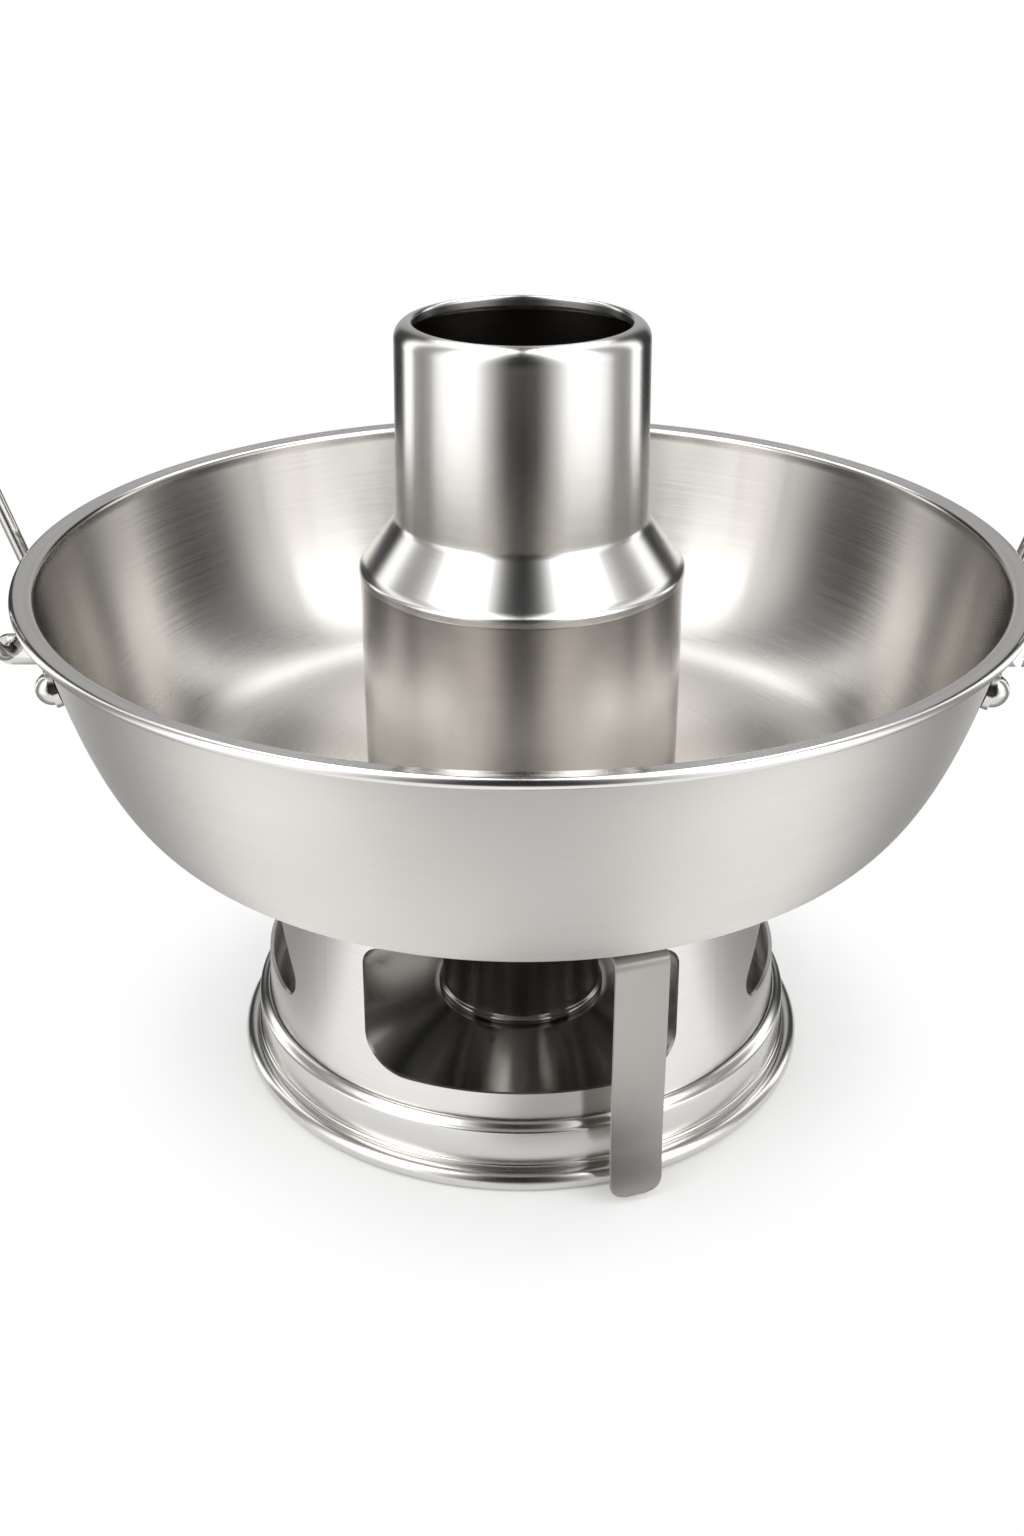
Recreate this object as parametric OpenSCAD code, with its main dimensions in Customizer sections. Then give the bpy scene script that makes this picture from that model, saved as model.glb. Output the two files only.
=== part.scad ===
// Stainless chimney hot pot: a moat bowl round a fire tube, on a windowed stand with a spirit burner.
// Millimetres, +Z up, the front faces -Y, and the origin is on the table under the fire tube's axis.

/* [Bowl] */
// Outer radius of the bowl's lip
rim_r = 160; // [150:1:170]
// Height of the lip above the table
rim_z = 178; // [172:1:186]
// Width of the flat ring of the lip
lip_w = 6; // [5:0.5:8]
// Radius of the rolled bead at the lip's outer edge
lip_bead_r = 1.7; // [1.4:0.1:2]
// Depth of the bowl below the lip, outside
bowl_depth = 80; // [76:1:84]
// Radius of the bowl's flat bottom
bowl_flat_r = 104; // [98:1:108]
// How full the bowl's side is: 1 is an ellipse, less is fuller
bowl_fullness = 0.7; // [0.6:0.02:0.8]
// Angle round its oval at which the bowl's side meets the lip: more leans the side outwards
side_start = 50; // [40:1:56]
// Thickness of the bowl's sheet
bowl_sheet = 1.2; // [1:0.1:1.5]

/* [Fire tube and chimney] */
// Outer radius of the fire tube
tube_r = 52; // [49:0.5:54]
// Height of the fire tube above the bowl's bottom
tube_h = 75; // [70:1:80]
// Thickness of the fire tube's sheet
tube_sheet = 1; // [0.8:0.1:1.4]
// Width of the flange that joins the fire tube to the bowl's bottom
tube_flange_w = 9; // [6:0.5:12]
// Width of the ledge at the tube's foot that carries the grate
ledge_w = 4; // [3:0.5:6]
// Thickness of the fire grate
grate_t = 2; // [1.5:0.5:3]
// Number of bars in the fire grate
grate_bars = 6; // [4:1:8]
// Width of a grate bar
grate_bar_w = 4; // [3:0.5:5]
// Height of the chimney's sloping shoulder
shoulder_h = 18.5; // [15:0.5:22]
// Outer radius of the chimney's neck, at its foot
neck_foot_r = 40; // [38:0.5:42]
// Outer radius of the chimney's neck, at its mouth
neck_mouth_r = 39.2; // [37:0.2:40]
// Height of the chimney's neck above the shoulder
neck_h = 61; // [50:1:70]
// Radius of the rolled-in edge at the chimney's mouth
mouth_roll_r = 5.2; // [4:0.2:6]
// Depth of the spigot that plugs the chimney into the fire tube
spigot_h = 10; // [6:1:14]

/* [Stand] */
// Outer radius of the stand's wall, at its top
wall_top_r = 86; // [83:0.5:88]
// Outer radius of the stand's wall, at its foot
wall_foot_r = 89.6; // [88.5:0.1:91]
// Thickness of the stand's sheet
stand_sheet = 1.2; // [1:0.1:1.5]
// Width of the top flange that carries the bowl
seat_flange_w = 8; // [5:0.5:12]
// Width of the front and rear windows
window_w = 99; // [90:1:104]
// Height of the windows' lower edge above the table
window_low_z = 31; // [28:0.5:36]
// Height of the windows' upper edge above the table
window_high_z = 75; // [71:0.5:78]
// Radius of the front windows' lower corners
window_low_corner = 13; // [10:1:18]
// Radius of the front windows' upper corners
window_high_corner = 6; // [4:1:10]
// Height of the side windows' lower edge above the table
side_window_low_z = 36.5; // [34:0.5:40]
// Width of the side windows at their lower edge
side_window_low_w = 110; // [96:1:112]
// Width of the side windows at their upper edge
side_window_high_w = 56; // [46:1:66]
// Corner radius of the side windows
side_window_corner = 8; // [5:1:10]

/* [Base] */
// Radius of the round bead that the pot stands on
foot_bead_r = 3.2; // [2.6:0.1:3.8]
// How far the bead is flattened where it stands
foot_flat = 0.3; // [0.1:0.05:0.5]
// How far the skirt's upright band stands out from the wall's foot
band_out = 3.8; // [3:0.1:5]
// How far the foot bead stands out from the band
foot_out = 5.8; // [5:0.1:7]
// Radius of the thin seam bead between the band and the foot bead
seam_r = 0.9; // [0.7:0.1:1.2]
// Height of the skirt's sloping shoulder
skirt_shoulder_h = 2.6; // [2:0.1:4]
// Height of the skirt's top edge above the table
skirt_z = 21.5; // [19.5:0.5:24]
// Height of the raised middle of the base pan
pan_top_z = 15; // [13:0.5:18]
// How far the raised middle of the base pan reaches past the burner's foot bead
pan_top_out = 1.5; // [0.5:0.5:3]
// Radius of the foot of the base pan's slope
pan_foot_r = 66; // [60:1:72]
// Height of the base pan's floor above the table
pan_floor_z = 5; // [4:0.5:6]

/* [Burner] */
// Outer radius of the burner's cup
burner_r = 28; // [26:0.5:30]
// Height of the burner's rim above the table
burner_rim_z = 86; // [84:0.5:87]
// Radius of the bead round the burner's foot
burner_bead_r = 1.5; // [1:0.1:2]
// Outer radius of the burner's neck, which the regulator turns on
burner_neck_r = 14; // [12:0.5:15]
// Thickness of the burner's sheet
burner_sheet = 1; // [0.8:0.1:1.2]
// Number of flame holes
flame_holes = 8; // [6:1:10]
// Radius of a flame hole
flame_hole_r = 2.2; // [1.8:0.1:2.6]

/* [Regulator] */
// Width of the regulator's strap
strap_w = 17.3; // [14:0.1:20]
// Thickness of the strap
strap_t = 1.5; // [1.2:0.1:2]
// Distance from the axis to the strap's outer face
strap_reach = 108; // [106:0.5:112]
// Outside radius of the strap's bend
strap_bend_r = 4; // [3:0.5:6]
// Height of the strap's lower end above the table
strap_low_z = 2.8; // [2:0.1:6]
// Radius of the strap's lower corners
strap_corner = 5; // [3:0.5:7]
// Length of the flared finger tip
strap_tip_h = 21; // [15:1:26]
// Angle of the flared finger tip
strap_tip_angle = 3; // [1:0.5:5]
// Turn of the strap from the front, as it rests
strap_turn = 19.5; // [10:0.5:22]
// How far the strap swings towards the other side of the window
strap_swing = 39; // [20:1:40]

/* [Handles] */
// How far the handles' pivots stand out from the edge of the lip
pivot_out = 3.5; // [3:0.1:6]
// How far the handles' pivots lie below the lip
pivot_drop = 27; // [25:0.5:30]
// Radius of the handle's rod
rod_r = 2.4; // [2:0.1:3]
// Half the distance between the handle's two legs
leg_y = 28; // [26:0.5:32]
// Height of the handle from its pivot to the middle of its grip
bail_h = 54; // [48:1:62]
// Bend radius at the handle's upper corners, to the rod's middle
bail_corner = 12; // [10:1:18]
// Lean of the handle outwards from upright, as it rests
bail_lean = 18; // [10:1:30]
// Thickness of the ears' strip
ear_t = 2; // [1.6:0.1:2.5]
// How far the ears' round end stands above their strip
ear_step = 0.3; // [0.2:0.1:0.5]
// Width of the ears' strip, which is also the width of its round end
ear_w = 12.5; // [11:0.5:14]
// Distance from the middle plane to the ears' eyes
eye_y = 16; // [14:0.5:18]
// Outer radius of an ear's eye
eye_r = 5; // [4.4:0.1:6]
// Distance from the middle plane to the ears' rivets
rivet_y = 45; // [40:0.5:48]
// Radius of a rivet's domed head
rivet_head_r = 5.2; // [4:0.1:5.8]
// Height of a rivet's domed head
rivet_head_h = 4.6; // [3:0.1:5]
// Radius of a rivet's shank
rivet_shank_r = 2; // [1.6:0.1:2.4]

/* [Fits] */
// Clearance between pieces that slide or turn past each other
gap = 0.3; // [0.2:0.05:0.4]
// Radial clearance of a pin in its bore
pin_fit = 0.08; // [0.03:0.01:0.1]
// Clearance between spun pieces that are joined
joint_fit = 0.1; // [0.05:0.01:0.15]

/* [Hidden] */
steel = "silver";
$fn = 96;
side_steps = 20;
corner_steps = 6;
far = 400;
wall_overlap = 4;
cut = 1;
chimney_lap = 0.4;
chimney_edge_h = 1.6;
burner_plug_h = 4;

floor_z = rim_z - bowl_depth;
side_top_z = rim_z - 2 * lip_bead_r;
side_top_r = rim_r - lip_w;
side_drop = side_top_z - floor_z;
band_r = wall_foot_r + band_out;
foot_r = band_r + foot_out;
pivot_x = rim_r + pivot_out;
pivot_z = rim_z - pivot_drop;
tube_top_z = floor_z + tube_h;
shoulder_top_z = tube_top_z + shoulder_h;
mouth_z = shoulder_top_z + neck_h;
ring_low_z = burner_rim_z + burner_sheet + gap;
ring_t = 1.2;
arm_low_z = ring_low_z + ring_t;
arm_high_z = arm_low_z + strap_t;
slot_room = 2;
slot_low_z = arm_low_z - slot_room;
slot_high_z = arm_high_z + slot_room;
flame_ring_r = (burner_r + burner_neck_r) / 2;
rivet_r = 1.5;
rivet_inset = 3.2;
rivet_head_t = 1;
pin_head_t = 1.5;
pin_head_out = 1.4;
rivet_flare = 0.9;

// The bowl's side is the part of an oval from the angle side_start to 90 degrees. This is how far
// the oval's sine has come at height z, and the side's outer radius there
function side_sine(z) =
    sin(side_start) + (1 - sin(side_start)) * (side_top_z - z) / side_drop;
function side_r(z) = bowl_flat_r + (side_top_r - bowl_flat_r)
    * pow(sqrt(max(0, 1 - pow(side_sine(z), 2))) / cos(side_start), bowl_fullness);

// The bowl's side from the lip down to the flat bottom, moved inwards by t
function side_curve(t) = [for (i = [0 : side_steps])
    let (a = side_start + (90 - side_start) * i / side_steps)
    [bowl_flat_r + (side_top_r - t - bowl_flat_r) * pow(max(0, cos(a)) / cos(side_start), bowl_fullness),
     side_top_z - (side_drop - t) * (sin(a) - sin(side_start)) / (1 - sin(side_start))]];

// Points of an arc round c from angle a to angle b
function arc(c, r, a, b, n = corner_steps) =
    [for (i = [0 : n]) c + r * [cos(a + (b - a) * i / n), sin(a + (b - a) * i / n)]];

// A closed outline with its corner i rounded to radii[i]; the corners run anticlockwise
function rounded(points, radii) = [
    for (i = [0 : len(points) - 1])
        let (n = len(points), p = points[i], a = points[(i + n - 1) % n], b = points[(i + 1) % n],
             u = (a - p) / norm(a - p), v = (b - p) / norm(b - p),
             half = acos(u * v) / 2, c = p + (u + v) / norm(u + v) * radii[i] / sin(half),
             start = atan2((p + u * radii[i] / tan(half) - c)[1], (p + u * radii[i] / tan(half) - c)[0]),
             turn = 180 - 2 * half)
        each arc(c, radii[i], start, start + turn)];

function reversed(list) = [for (i = [len(list) - 1 : -1 : 0]) list[i]];

module spun(points) { rotate_extrude() polygon(points); }

module bowl() {
    bead_c = [rim_r - lip_bead_r, rim_z - lip_bead_r];
    color(steel) difference() {
        union() {
            spun(concat(
                [[side_top_r, rim_z - bowl_sheet]], side_curve(0), [[0, floor_z]],
                [[0, floor_z + bowl_sheet]], reversed(side_curve(bowl_sheet)),
                [[side_top_r - bowl_sheet, rim_z - bowl_sheet / 2]],
                [[side_top_r - bowl_sheet / 2, rim_z]],
                [[side_top_r, rim_z]]));
            spun(concat(
                [[side_top_r - bowl_sheet / 2, rim_z],
                 [side_top_r - bowl_sheet / 2, rim_z - bowl_sheet]],
                [[bead_c[0], rim_z - bowl_sheet], [bead_c[0], rim_z - 2 * lip_bead_r]],
                arc(bead_c, lip_bead_r, -90, 90)));
        }
        translate([0, 0, floor_z - cut])
            cylinder(h = bowl_sheet + 2 * cut, r = tube_r + joint_fit);
    }
}

module fire_tube() {
    color(steel) difference() {
        union() {
            translate([0, 0, floor_z - tube_sheet])
                cylinder(h = tube_sheet, r = tube_r + tube_flange_w);
            translate([0, 0, floor_z - tube_sheet])
                cylinder(h = tube_h + tube_sheet, r = tube_r);
        }
        translate([0, 0, floor_z])
            cylinder(h = tube_h + cut, r = tube_r - tube_sheet);
        translate([0, 0, floor_z - tube_sheet - cut])
            cylinder(h = tube_sheet + 2 * cut, r = tube_r - tube_sheet - ledge_w);
    }
}

module chimney() {
    t = tube_sheet;
    roll_c = [neck_mouth_r - mouth_roll_r, mouth_z - mouth_roll_r];
    spigot_r = tube_r - tube_sheet - joint_fit;
    skirt_r = tube_r + chimney_lap;
    hem_z = roll_c[1] + 2 * t;
    color(steel) spun(concat(
        [[spigot_r, tube_top_z - spigot_h], [spigot_r, tube_top_z],
         [skirt_r, tube_top_z], [skirt_r, tube_top_z + chimney_edge_h],
         [neck_foot_r, shoulder_top_z]],
        arc(roll_c, mouth_roll_r, 0, 90),
        [[roll_c[0] - t / 2, mouth_z - t / 2], [roll_c[0] - t / 2, hem_z],
         [roll_c[0] + t / 2, hem_z], [roll_c[0] + t / 2, mouth_z - t]],
        reversed(arc(roll_c, mouth_roll_r - t, 0, 80)),
        [[neck_foot_r - t, shoulder_top_z - t / 2], [spigot_r - t, tube_top_z + t],
         [spigot_r - t, tube_top_z - spigot_h]]));
}

module fire_grate() {
    r = tube_r - tube_sheet - gap;
    pitch = 2 * r / (grate_bars + 1);
    color("dimgray") translate([0, 0, floor_z]) {
        difference() {
            cylinder(h = grate_t, r = r);
            translate([0, 0, -cut]) cylinder(h = grate_t + 2 * cut, r = r - ledge_w);
        }
        intersection() {
            cylinder(h = grate_t, r = r - ledge_w / 2);
            for (i = [1 : grate_bars])
                translate([-r + i * pitch - grate_bar_w / 2, -r, 0])
                    cube([grate_bar_w, 2 * r, grate_t]);
        }
    }
}

// A window seen square on: an outline in x and z that is cut through the wall along y
module window_cut(points, turn) {
    rotate([0, 0, turn]) rotate([90, 0, 0]) linear_extrude(height = far) polygon(points);
}

function front_window() = rounded(
    [[-window_w / 2, window_low_z], [window_w / 2, window_low_z],
     [window_w / 2, window_high_z], [-window_w / 2, window_high_z]],
    [window_low_corner, window_low_corner, window_high_corner, window_high_corner]);

function side_window() = rounded(
    [[-side_window_low_w / 2, side_window_low_z], [side_window_low_w / 2, side_window_low_z],
     [side_window_high_w / 2, window_high_z], [-side_window_high_w / 2, window_high_z]],
    [for (i = [1 : 4]) side_window_corner]);

module stand_wall() {
    low_z = skirt_z - wall_overlap;
    top_z = floor_z;
    t = stand_sheet;
    slot_margin = asin((strap_w / 2 + slot_room) / wall_top_r);
    slot_from = strap_turn - strap_swing - slot_margin;
    slot_to = strap_turn + slot_margin;
    color(steel) difference() {
        spun([[wall_foot_r - t, low_z], [wall_foot_r, low_z], [wall_top_r, top_z],
              [wall_top_r - seat_flange_w, top_z], [wall_top_r - seat_flange_w, top_z - t],
              [wall_top_r - t, top_z - t]]);
        for (turn = [0, 180]) window_cut(front_window(), turn);
        for (turn = [90, 270]) window_cut(side_window(), turn);
        translate([0, 0, slot_low_z]) linear_extrude(height = slot_high_z - slot_low_z)
            polygon(concat([[0, 0]],
                [for (i = [0 : side_steps]) let (a = slot_from + (slot_to - slot_from) * i / side_steps)
                    far * [sin(a), -cos(a)]]));
    }
}

module base_skirt() {
    t = stand_sheet;
    bead_c = [foot_r - foot_bead_r, foot_bead_r - foot_flat];
    inner_r = wall_foot_r + joint_fit;
    shoulder_z = skirt_z - skirt_shoulder_h;
    color(steel) rotate_extrude() {
        polygon([[inner_r, skirt_z], [inner_r, skirt_z - t], [band_r - t, shoulder_z - t / 2],
                 [band_r - t, bead_c[1]], [band_r, bead_c[1]],
                 [band_r, shoulder_z], [inner_r + t / 2, skirt_z]]);
        intersection() {
            translate(bead_c) circle(r = foot_bead_r);
            square(far);
        }
        translate([band_r - t, bead_c[1]]) square([bead_c[0] - band_r + t, foot_bead_r]);
        translate([band_r, bead_c[1] + foot_bead_r + seam_r / 2]) circle(r = seam_r, $fn = 32);
    }
}

module base_pan() {
    t = burner_sheet;
    edge_r = band_r - stand_sheet - joint_fit;
    top_r = burner_r + burner_bead_r + pan_top_out;
    color("gainsboro") spun([
        [0, pan_top_z], [0, pan_top_z - t], [top_r, pan_top_z - t], [pan_foot_r, pan_floor_z - t],
        [edge_r, pan_floor_z - t], [edge_r, pan_floor_z], [pan_foot_r, pan_floor_z],
        [top_r, pan_top_z]]);
}

module burner_cup() {
    t = burner_sheet;
    low_z = pan_top_z + burner_bead_r;
    color("gray") rotate_extrude() {
        translate([burner_r, low_z]) circle(r = burner_bead_r, $fn = 32);
        polygon([[0, low_z], [burner_r, low_z], [burner_r, burner_rim_z],
                 [burner_r - t, burner_rim_z], [burner_r - t, low_z + t], [0, low_z + t]]);
    }
}

module flame_hole_ring(h) {
    for (i = [0 : flame_holes - 1]) rotate([0, 0, 360 * i / flame_holes])
        translate([flame_ring_r, 0, -cut]) cylinder(h = h + 2 * cut, r = flame_hole_r, $fn = 32);
}

module burner_top() {
    t = burner_sheet;
    neck_h_up = gap + ring_t + strap_t + slot_room;
    plug_r = burner_r - t - joint_fit;
    plug_z = burner_rim_z - burner_plug_h;
    color("gray") difference() {
        union() {
            translate([0, 0, burner_rim_z]) cylinder(h = t, r = burner_r);
            translate([0, 0, plug_z]) cylinder(h = burner_plug_h, r = plug_r);
            translate([0, 0, burner_rim_z + t]) cylinder(h = neck_h_up, r = burner_neck_r);
        }
        translate([0, 0, plug_z - cut]) cylinder(h = burner_plug_h + cut, r = plug_r - t);
        translate([0, 0, plug_z]) cylinder(h = far, r = burner_neck_r - t);
        translate([0, 0, burner_rim_z]) flame_hole_ring(t);
    }
}

module regulator_ring() {
    color(steel) translate([0, 0, ring_low_z]) difference() {
        cylinder(h = ring_t, r = burner_r - gap);
        translate([0, 0, -cut]) cylinder(h = ring_t + 2 * cut, r = burner_neck_r + pin_fit);
        flame_hole_ring(ring_t);
    }
}

// Rivet places along the strap, as distances from the axis
rivet_places = [burner_neck_r + rivet_inset, burner_r - rivet_inset];

module regulator_strap() {
    inner = burner_neck_r + gap;
    tip_z = strap_low_z + strap_tip_h;
    tip_out = strap_tip_h * tan(strap_tip_angle);
    outer = strap_reach;
    t = strap_t;
    bend_c = [outer - strap_bend_r, arm_high_z - strap_bend_r];
    side = concat(
        [[inner, arm_high_z], [inner, arm_low_z]],
        reversed(arc(bend_c, strap_bend_r - t, 0, 90)),
        [[outer - t, tip_z], [outer - t + tip_out, strap_low_z],
         [outer + tip_out, strap_low_z], [outer, tip_z]],
        arc(bend_c, strap_bend_r, 0, 90));
    front = rounded(
        [[-strap_w / 2, strap_low_z], [strap_w / 2, strap_low_z],
         [strap_w / 2, arm_high_z + 2 * cut], [-strap_w / 2, arm_high_z + 2 * cut]],
        [strap_corner, strap_corner, cut, cut]);
    color(steel) rotate([0, 0, strap_turn]) difference() {
        intersection() {
            rotate([0, 0, -90]) rotate([90, 0, 0]) translate([0, 0, -strap_w / 2])
                linear_extrude(height = strap_w) polygon(side);
            rotate([90, 0, 0]) linear_extrude(height = far) polygon(front);
        }
        translate([0, 0, arm_low_z - cut]) cylinder(h = t + 2 * cut, r = burner_neck_r + gap);
        for (r = rivet_places) translate([0, -r, arm_low_z - cut])
            cylinder(h = t + 2 * cut, r = rivet_r + joint_fit / 2, $fn = 32);
    }
}

module regulator_rivets() {
    color(steel) rotate([0, 0, strap_turn]) for (r = rivet_places)
        translate([0, -r, arm_low_z]) {
            cylinder(h = strap_t, r = rivet_r, $fn = 32);
            translate([0, 0, strap_t])
                cylinder(h = rivet_head_t, r1 = rivet_r + rivet_flare, r2 = rivet_r, $fn = 32);
        }
}

// A bail in its own plane: legs up from the pivot line, turned in at the foot through the ears
module bail() {
    c = bail_corner;
    foot = leg_y - eye_y - ear_t / 2 - gap;
    lug_in = eye_y - ear_t / 2;
    for (s = [-1, 1]) scale([1, s, 1]) {
        translate([0, leg_y, foot]) cylinder(h = bail_h - c - foot, r = rod_r);
        translate([0, leg_y - c, bail_h - c]) rotate([0, -90, 0])
            rotate_extrude(angle = 90) translate([c, 0]) circle(r = rod_r);
        translate([0, leg_y - foot, foot]) rotate([0, 90, 0])
            rotate_extrude(angle = 90) translate([foot, 0]) circle(r = rod_r);
        translate([0, lug_in - gap - pin_head_t, 0]) rotate([-90, 0, 0])
            cylinder(h = leg_y - foot - lug_in + gap + pin_head_t, r = rod_r);
        translate([0, lug_in - gap - pin_head_t, 0]) rotate([-90, 0, 0])
            cylinder(h = pin_head_t, r = rod_r + pin_head_out);
    }
    translate([0, -leg_y + c, bail_h]) rotate([-90, 0, 0]) cylinder(h = 2 * (leg_y - c), r = rod_r);
}

module handle(side) {
    color(steel) translate([side * pivot_x, 0, pivot_z]) rotate([0, side * bail_lean, 0]) bail();
}
module left_handle() { handle(-1); }
module right_handle() { handle(1); }

// Where an ear's rivet meets the bowl: azimuth from the X axis, and the side's slope there
ear_azimuth = asin(rivet_y / side_r(pivot_z));
ear_slope = atan((side_r(pivot_z + ear_w / 2) - side_r(pivot_z - ear_w / 2)) / ear_w);

// Moves into the frame of an ear's rivet: x out of the bowl's side, y along it
module at_rivet() {
    rotate([0, 0, ear_azimuth]) translate([side_r(pivot_z) + joint_fit, 0, pivot_z])
        rotate([0, ear_slope, 0]) children();
}

// Part of a strip that lies on the bowl's side, from one azimuth to another
module side_strip(from, to) {
    inner = [for (i = [0 : corner_steps])
        let (z = pivot_z + ear_w * (i / corner_steps - 0.5)) [side_r(z) + joint_fit, z]];
    rotate([0, 0, from]) rotate_extrude(angle = to - from)
        polygon(concat(reversed(inner), [for (p = inner) p + [ear_t, 0]]));
}

// A strip riveted at its raised round end, with its other end bent outwards into an eye
module ear(x_side, y_side) {
    eye_azimuth = asin((eye_y - ear_t / 2) / side_r(pivot_z));
    lug_from = [for (z = [pivot_z - eye_r, pivot_z + eye_r])
        [sqrt(pow(side_r(z), 2) - pow(eye_y, 2)) + ear_t / 2, z]];
    color(steel) scale([x_side, y_side, 1]) difference() {
        union() {
            side_strip(eye_azimuth, ear_azimuth);
            at_rivet() translate([ear_step, 0, 0]) rotate([0, 90, 0])
                cylinder(h = ear_t, r = ear_w / 2);
            translate([0, eye_y + ear_t / 2, 0]) rotate([90, 0, 0])
                linear_extrude(height = ear_t) union() {
                    translate([pivot_x, pivot_z]) circle(r = eye_r);
                    polygon([lug_from[0], [pivot_x, pivot_z - eye_r],
                             [pivot_x, pivot_z + eye_r], lug_from[1]]);
                }
        }
        translate([pivot_x, eye_y + ear_t, pivot_z]) rotate([90, 0, 0])
            cylinder(h = 2 * ear_t, r = rod_r + pin_fit);
        at_rivet() translate([-ear_w, 0, 0]) rotate([0, 90, 0])
            cylinder(h = 2 * ear_w, r = rivet_shank_r + joint_fit / 2, $fn = 32);
    }
}
module left_front_ear() { ear(-1, -1); }
module left_rear_ear() { ear(-1, 1); }
module right_front_ear() { ear(1, -1); }
module right_rear_ear() { ear(1, 1); }

module ear_rivets() {
    ball_r = (rivet_head_r * rivet_head_r + rivet_head_h * rivet_head_h) / (2 * rivet_head_h);
    color(steel) for (x_side = [-1, 1], y_side = [-1, 1]) scale([x_side, y_side, 1]) at_rivet() {
        rotate([0, 90, 0]) cylinder(h = ear_t + ear_step, r = rivet_shank_r, $fn = 32);
        translate([ear_t + ear_step, 0, 0]) rotate([0, 90, 0]) intersection() {
            translate([0, 0, rivet_head_h - ball_r]) sphere(r = ball_r);
            cylinder(h = rivet_head_h + cut, r = rivet_head_r + cut);
        }
    }
}

bowl();
fire_tube();
chimney();
fire_grate();
stand_wall();
base_skirt();
base_pan();
burner_cup();
burner_top();
regulator_ring();
regulator_strap();
regulator_rivets();
left_handle();
right_handle();
left_front_ear();
left_rear_ear();
right_front_ear();
right_rear_ear();
ear_rivets();
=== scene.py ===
"""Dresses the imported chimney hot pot: spun and brushed stainless sheet, polished rod fittings and a
spirit burner, on a white studio floor.

Every shape is worked out with numpy, either as a closed outline carried round the pot's axis, a
cross-section carried along a path, or a grid of two parameters on the stand's cone. Lengths are in
millimetres until a mesh is made, and Blender's own are in metres."""

import math
from types import SimpleNamespace

import bmesh
import bpy
import numpy as np
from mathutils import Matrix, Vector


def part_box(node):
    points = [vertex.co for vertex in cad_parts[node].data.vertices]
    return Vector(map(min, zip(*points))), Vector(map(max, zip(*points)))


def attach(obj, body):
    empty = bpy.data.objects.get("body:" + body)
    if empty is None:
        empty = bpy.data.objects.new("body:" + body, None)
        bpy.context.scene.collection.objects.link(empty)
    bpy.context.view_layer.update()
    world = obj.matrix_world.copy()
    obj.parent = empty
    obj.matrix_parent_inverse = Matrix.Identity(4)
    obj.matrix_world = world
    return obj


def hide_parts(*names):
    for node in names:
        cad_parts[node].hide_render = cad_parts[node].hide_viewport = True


bl_info = {
    "name": "Chimney hot pot",
    "version": (1, 0, 0),
    "blender": (4, 5, 0),
    "location": "View3D > Sidebar > Hot pot",
    "description": "Makes the looks of a stainless chimney hot pot round its packed frame",
    "category": "Add Mesh",
}

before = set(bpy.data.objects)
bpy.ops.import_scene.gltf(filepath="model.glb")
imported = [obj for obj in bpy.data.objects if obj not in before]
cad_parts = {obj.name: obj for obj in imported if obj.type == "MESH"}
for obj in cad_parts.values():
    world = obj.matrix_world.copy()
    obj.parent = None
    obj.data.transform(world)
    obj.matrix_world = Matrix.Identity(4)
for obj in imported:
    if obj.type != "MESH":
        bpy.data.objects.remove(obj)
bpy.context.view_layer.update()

MM = 0.001           # a millimetre in Blender's metres
AROUND = 288         # steps round the axis
ARC_STEPS = 10
PINHOLE = 0.5        # what a disc's outline leaves open round the axis, out of sight, in mm
PHOTO_W, PHOTO_H = 1024, 1536


# ---------------------------------------------------------------- frame sizes, in millimetres

def corners(node):
    """The lowest and highest corner of a CAD node, in millimetres."""
    low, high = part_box(node)
    return np.array(low) / MM, np.array(high) / MM


BOWL_LOW, BOWL_HIGH = corners("bowl")
TUBE_LOW, TUBE_HIGH = corners("fire_tube")
CHIMNEY_HIGH = corners("chimney")[1]
WALL_LOW, WALL_HIGH = corners("stand_wall")
SKIRT_HIGH = corners("base_skirt")[1]
PAN_LOW, PAN_HIGH = corners("base_pan")
CUP_LOW, CUP_HIGH = corners("burner_cup")
STRAP_LOW, STRAP_HIGH = corners("regulator_strap")


# ---------------------------------------------------------------- curves and outlines

def line(a, b, n=2):
    """n points on the straight line from a to b."""
    return np.linspace(a, b, n)


def arc(centre, radius, start, end, n=ARC_STEPS):
    """Points centre + radius (cos t, sin t) for t from start to end, in degrees."""
    t = np.radians(np.linspace(start, end, n))
    return np.asarray(centre, float) + radius * np.column_stack([np.cos(t), np.sin(t)])


def even(points, step):
    """The same polyline with its points about one step apart along its length."""
    points = np.asarray(points, float)
    along = np.concatenate([[0], np.cumsum(np.linalg.norm(np.diff(points, axis=0), axis=1))])
    keep = np.concatenate([[True], np.diff(along) > 1e-9])
    points, along = points[keep], along[keep]
    s = np.linspace(0, along[-1], max(2, int(round(along[-1] / step)) + 1))
    return np.column_stack([np.interp(s, along, points[:, k]) for k in range(points.shape[1])])


def rounded(points, radii, n=ARC_STEPS):
    """A closed anticlockwise outline, with a tangent arc of its own radius at each corner."""
    out = []
    count = len(points)
    for i, radius in enumerate(radii):
        p = np.array(points[i], float)
        u = np.array(points[i - 1], float) - p
        v = np.array(points[(i + 1) % count], float) - p
        u, v = u / np.linalg.norm(u), v / np.linalg.norm(v)
        half = math.acos(np.clip(u @ v, -1, 1)) / 2
        centre = p + (u + v) / np.linalg.norm(u + v) * radius / math.sin(half)
        touch = p + u * radius / math.tan(half) - centre
        start = math.degrees(math.atan2(touch[1], touch[0]))
        out.append(arc(centre, radius, start, start + 180 - math.degrees(2 * half), n))
    return np.vstack(out)


# ---------------------------------------------------------------- grids to meshes

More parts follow.
